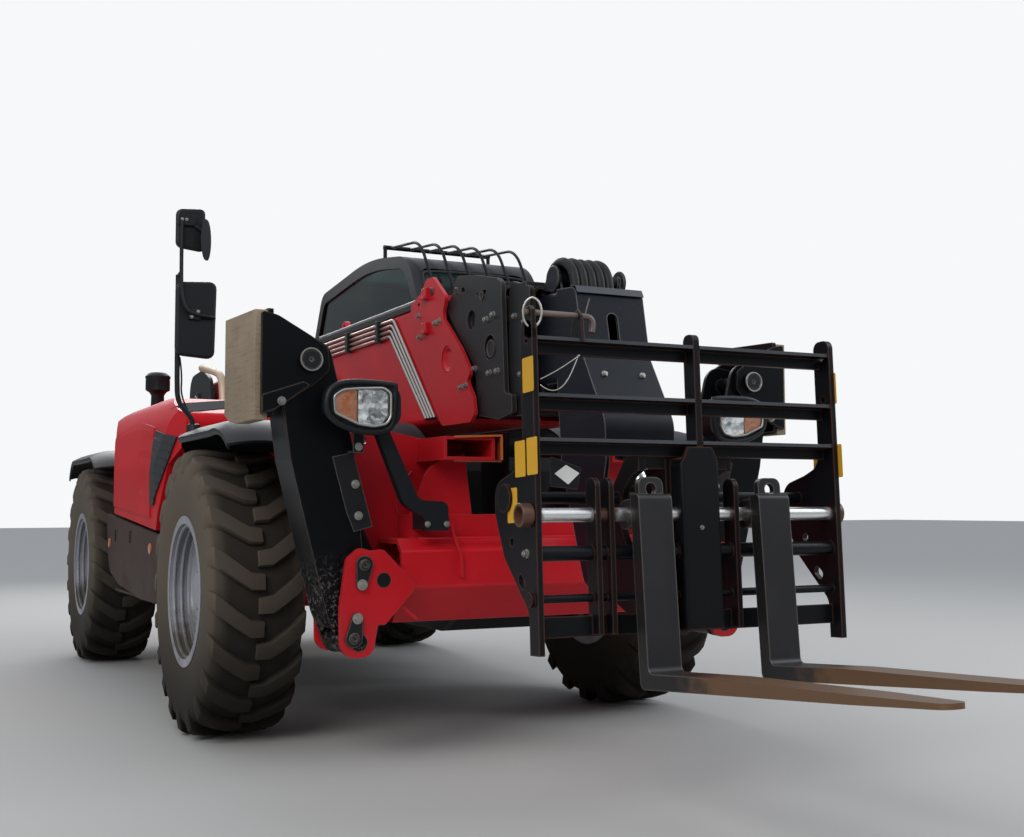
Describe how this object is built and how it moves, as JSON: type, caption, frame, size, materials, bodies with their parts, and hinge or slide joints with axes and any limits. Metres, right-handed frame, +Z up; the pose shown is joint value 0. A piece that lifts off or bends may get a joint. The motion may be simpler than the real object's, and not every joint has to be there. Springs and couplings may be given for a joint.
{
  "type": "telehandler",
  "caption": "Telescopic handler with a boom in four box sections, a floating-fork carriage, folding front stabilisers, side cab and steering on both axles.",
  "frame": {"origin": "on the ground under the middle of the overall length and width", "axes": "+X to the machine's left, +Y to its rear, +Z up; it faces -Y"},
  "size_m": [2.42, 7.5722, 2.6178],
  "materials": {
    "red_paint": "gloss",
    "black_paint": "satin",
    "dark_grey_plastic": "satin",
    "grey_paint": "matt",
    "rim_paint": "satin",
    "tyre_rubber": "dusty",
    "bright_steel": "bright",
    "chrome_rod": "polished",
    "worn_steel": "worn",
    "cab_glass": "clear",
    "seat_cover": "matt",
    "board": "rough",
    "hose_rubber": "matt",
    "engine_grey": "rough"
  },
  "bodies": {
    "machine": {"frame_plates": "black_paint", "frame_floor": "black_paint", "front_beam": "red_paint", "counterweight": "red_paint", "front_axle": "red_paint", "rear_axle": "red_paint", "front_fenders": "dark_grey_plastic", "rear_fenders": "dark_grey_plastic", "engine_block": "engine_grey", "side_cover": "grey_paint", "rear_cover": "red_paint", "fuel_tank": "dark_grey_plastic", "exhaust": "bright_steel", "mirrors": "dark_grey_plastic", "headlamps": "dark_grey_plastic", "cab_frame": "dark_grey_plastic", "cab_glass": "cab_glass", "cab_seat": "seat_cover", "cab_controls": "dark_grey_plastic", "roof_guard": "black_paint"},
    "hood": {"engine_hood": "red_paint"},
    "door": {"cab_door": "dark_grey_plastic", "door_glass": "cab_glass"},
    "boom": {"boom_outer": "red_paint", "boom_pipes": "bright_steel"},
    "second_section": {"boom_second": "black_paint"},
    "third_section": {"boom_third": "black_paint"},
    "inner_section": {"boom_head": "black_paint", "hose_carrier": "hose_rubber", "tilt_pin": "bright_steel"},
    "lift_barrel": {"lift_cylinder": "black_paint"},
    "lift_piston": {"lift_rod": "chrome_rod"},
    "tilt_barrel": {"tilt_cylinder": "black_paint"},
    "tilt_piston": {"tilt_rod": "chrome_rod"},
    "carriage": {"carriage_frame": "black_paint", "fork_shaft": "chrome_rod"},
    "right_fork": {"fork_right": "worn_steel"},
    "left_fork": {"fork_left": "worn_steel"},
    "leg_right": {"stabiliser_leg_right": "black_paint"},
    "foot_right": {"stabiliser_foot_right": "black_paint", "foot_board_right": "board"},
    "leg_barrel_right": {"stabiliser_cylinder_right": "black_paint"},
    "leg_piston_right": {"stabiliser_rod_right": "chrome_rod"},
    "leg_left": {"stabiliser_leg_left": "black_paint"},
    "foot_left": {"stabiliser_foot_left": "black_paint", "foot_board_left": "board"},
    "leg_barrel_left": {"stabiliser_cylinder_left": "black_paint"},
    "leg_piston_left": {"stabiliser_rod_left": "chrome_rod"},
    "knuckle_front_right": {"knuckle_front_right": "red_paint"},
    "wheel_front_right": {"tyre_front_right": "tyre_rubber", "rim_front_right": "rim_paint"},
    "knuckle_front_left": {"knuckle_front_left": "red_paint"},
    "wheel_front_left": {"tyre_front_left": "tyre_rubber", "rim_front_left": "rim_paint"},
    "knuckle_rear_right": {"knuckle_rear_right": "red_paint"},
    "wheel_rear_right": {"tyre_rear_right": "tyre_rubber", "rim_rear_right": "rim_paint"},
    "knuckle_rear_left": {"knuckle_rear_left": "red_paint"},
    "wheel_rear_left": {"tyre_rear_left": "tyre_rubber", "rim_rear_left": "rim_paint"}
  },
  "joints": [
    {"name": "boom_lift", "type": "hinge", "parent": "machine", "child": "boom", "pos_m": [0, 3.385, 1.74], "axis": [-1, 0, 0], "range_deg": [-4, 68]},
    {"name": "boom_extend", "type": "slide", "parent": "boom", "child": "second_section", "axis": [0, -1, 0], "range_m": [0, 3.7]},
    {"name": "third_extend", "type": "slide", "parent": "second_section", "child": "third_section", "axis": [0, -1, 0], "range_m": [0, 3.7]},
    {"name": "inner_extend", "type": "slide", "parent": "third_section", "child": "inner_section", "axis": [0, -1, 0], "range_m": [0, 3.7]},
    {"name": "lift_barrel_swing", "type": "hinge", "parent": "machine", "child": "lift_barrel", "pos_m": [0, 3.135, 0.9], "axis": [-1, 0, 0], "range_deg": [-4, 56]},
    {"name": "lift_rod_slide", "type": "slide", "parent": "lift_barrel", "child": "lift_piston", "axis": [0, -0.9676, 0.2524], "range_m": [-0.06, 0.95]},
    {"name": "carriage_tilt", "type": "hinge", "parent": "inner_section", "child": "carriage", "pos_m": [0, -2.155, 0.8], "axis": [-1, 0, 0], "range_deg": [-107, 12]},
    {"name": "tilt_barrel_swing", "type": "hinge", "parent": "inner_section", "child": "tilt_barrel", "pos_m": [0, -1.795, 1.66], "axis": [-1, 0, 0], "range_deg": [-2, 2]},
    {"name": "tilt_rod_slide", "type": "slide", "parent": "tilt_barrel", "child": "tilt_piston", "axis": [0, -0.5255, -0.8508], "range_m": [-0.04, 0.32]},
    {"name": "right_fork_swing", "type": "hinge", "parent": "carriage", "child": "right_fork", "pos_m": [0, -2.46815, 0.96381], "axis": [-1, 0, 0], "range_deg": [0, 80]},
    {"name": "left_fork_swing", "type": "hinge", "parent": "carriage", "child": "left_fork", "pos_m": [0, -2.46815, 0.96381], "axis": [-1, 0, 0], "range_deg": [0, 80]},
    {"name": "stabiliser_right", "type": "hinge", "parent": "machine", "child": "leg_right", "pos_m": [-0.815, -1.365, 0.495], "axis": [0, -1, 0], "range_deg": [0, 96]},
    {"name": "foot_swivel_right", "type": "hinge", "parent": "leg_right", "child": "foot_right", "pos_m": [-0.99931, -1.365, 1.52971], "axis": [0, -1, 0], "range_deg": [-20, 8]},
    {"name": "leg_barrel_swing_right", "type": "hinge", "parent": "machine", "child": "leg_barrel_right", "pos_m": [-0.72, -1.365, 0.72], "axis": [0, -1, 0], "range_deg": [-1, 100]},
    {"name": "leg_rod_slide_right", "type": "slide", "parent": "leg_barrel_right", "child": "leg_piston_right", "axis": [-0.3858, 0, 0.9226], "range_m": [-0.01, 0.38]},
    {"name": "stabiliser_left", "type": "hinge", "parent": "machine", "child": "leg_left", "pos_m": [0.815, -1.365, 0.495], "axis": [0, 1, 0], "range_deg": [0, 96]},
    {"name": "foot_swivel_left", "type": "hinge", "parent": "leg_left", "child": "foot_left", "pos_m": [0.99931, -1.365, 1.52971], "axis": [0, 1, 0], "range_deg": [-20, 8]},
    {"name": "leg_barrel_swing_left", "type": "hinge", "parent": "machine", "child": "leg_barrel_left", "pos_m": [0.72, -1.365, 0.72], "axis": [0, 1, 0], "range_deg": [-1, 100]},
    {"name": "leg_rod_slide_left", "type": "slide", "parent": "leg_barrel_left", "child": "leg_piston_left", "axis": [0.3858, 0, 0.9226], "range_m": [-0.01, 0.38]},
    {"name": "steer_front_right", "type": "hinge", "parent": "machine", "child": "knuckle_front_right", "pos_m": [-0.8, -0.315, 0.625], "axis": [0, 0, 1], "range_deg": [-35, 35]},
    {"name": "wheel_spin_front_right", "type": "hinge", "parent": "knuckle_front_right", "child": "wheel_front_right", "pos_m": [-1.01, -0.315, 0.625], "axis": [1, 0, 0], "continuous": true},
    {"name": "steer_front_left", "type": "hinge", "parent": "machine", "child": "knuckle_front_left", "pos_m": [0.8, -0.315, 0.625], "axis": [0, 0, 1], "range_deg": [-35, 35]},
    {"name": "wheel_spin_front_left", "type": "hinge", "parent": "knuckle_front_left", "child": "wheel_front_left", "pos_m": [1.01, -0.315, 0.625], "axis": [1, 0, 0], "continuous": true},
    {"name": "steer_rear_right", "type": "hinge", "parent": "machine", "child": "knuckle_rear_right", "pos_m": [-0.8, 2.755, 0.625], "axis": [0, 0, 1], "range_deg": [-35, 35]},
    {"name": "wheel_spin_rear_right", "type": "hinge", "parent": "knuckle_rear_right", "child": "wheel_rear_right", "pos_m": [-1.01, 2.755, 0.625], "axis": [1, 0, 0], "continuous": true},
    {"name": "steer_rear_left", "type": "hinge", "parent": "machine", "child": "knuckle_rear_left", "pos_m": [0.8, 2.755, 0.625], "axis": [0, 0, 1], "range_deg": [-35, 35]},
    {"name": "wheel_spin_rear_left", "type": "hinge", "parent": "knuckle_rear_left", "child": "wheel_rear_left", "pos_m": [1.01, 2.755, 0.625], "axis": [1, 0, 0], "continuous": true},
    {"name": "hood_open", "type": "hinge", "parent": "machine", "child": "hood", "pos_m": [-0.338, 1.185, 1.632], "axis": [0, 1, 0], "range_deg": [0, 60]},
    {"name": "door_open", "type": "hinge", "parent": "machine", "child": "door", "pos_m": [1.164, 1.96, 1.5], "axis": [0, 0, 1], "range_deg": [0, 90]}
  ],
  "couplings": [
    {"joint": "third_extend", "follows": "boom_extend", "ratio": 1},
    {"joint": "inner_extend", "follows": "boom_extend", "ratio": 1},
    {"joint": "lift_barrel_swing", "follows": "boom_lift", "ratio": 0.81},
    {"joint": "lift_rod_slide", "follows": "boom_lift", "m_per_rad": 0.788},
    {"joint": "tilt_barrel_swing", "follows": "carriage_tilt", "ratio": 0.01},
    {"joint": "tilt_rod_slide", "follows": "carriage_tilt", "m_per_rad": -0.165},
    {"joint": "leg_barrel_swing_right", "follows": "stabiliser_right", "ratio": 1.021},
    {"joint": "leg_rod_slide_right", "follows": "stabiliser_right", "m_per_rad": 0.217},
    {"joint": "leg_barrel_swing_left", "follows": "stabiliser_left", "ratio": 1.021},
    {"joint": "leg_rod_slide_left", "follows": "stabiliser_left", "m_per_rad": 0.217},
    {"joint": "steer_front_left", "follows": "steer_front_right", "ratio": 1},
    {"joint": "steer_rear_left", "follows": "steer_rear_right", "ratio": 1}
  ]
}
